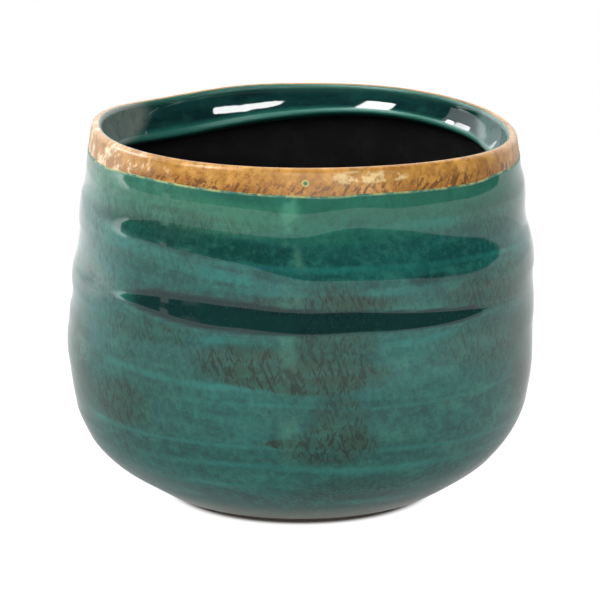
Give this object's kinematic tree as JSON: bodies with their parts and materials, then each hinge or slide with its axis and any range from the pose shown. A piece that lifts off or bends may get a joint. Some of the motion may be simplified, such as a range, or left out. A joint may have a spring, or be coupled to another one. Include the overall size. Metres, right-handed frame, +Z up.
{
  "type": "ceramic plant pot",
  "caption": "Round hand-thrown stoneware plant pot with a wide mouth, glazed outside, an ochre band round its uneven lip, a dark inside and felt feet.",
  "frame": {"origin": "on the ground, under the middle of the pot", "axes": "+Z up through the mouth, +X to the right and -Y to the front as the pot is pictured"},
  "size_m": [0.1999, 0.1997, 0.1655],
  "materials": {
    "stoneware": "bare fired stoneware",
    "teal_glaze": "glossy teal glaze with brown brush marks",
    "ochre_glaze": "semi-gloss ochre glaze with brown specks",
    "black_sealer": "dull black waterproof coat",
    "felt": "dark pressed felt"
  },
  "bodies": {
    "root": {"clay_body": "stoneware", "outer_glaze": "teal_glaze", "rim_band": "ochre_glaze", "collar_glaze": "teal_glaze", "inner_sealer": "black_sealer", "felt_pad_1": "felt", "felt_pad_2": "felt", "felt_pad_3": "felt", "felt_pad_4": "felt"}
  },
  "joints": []
}
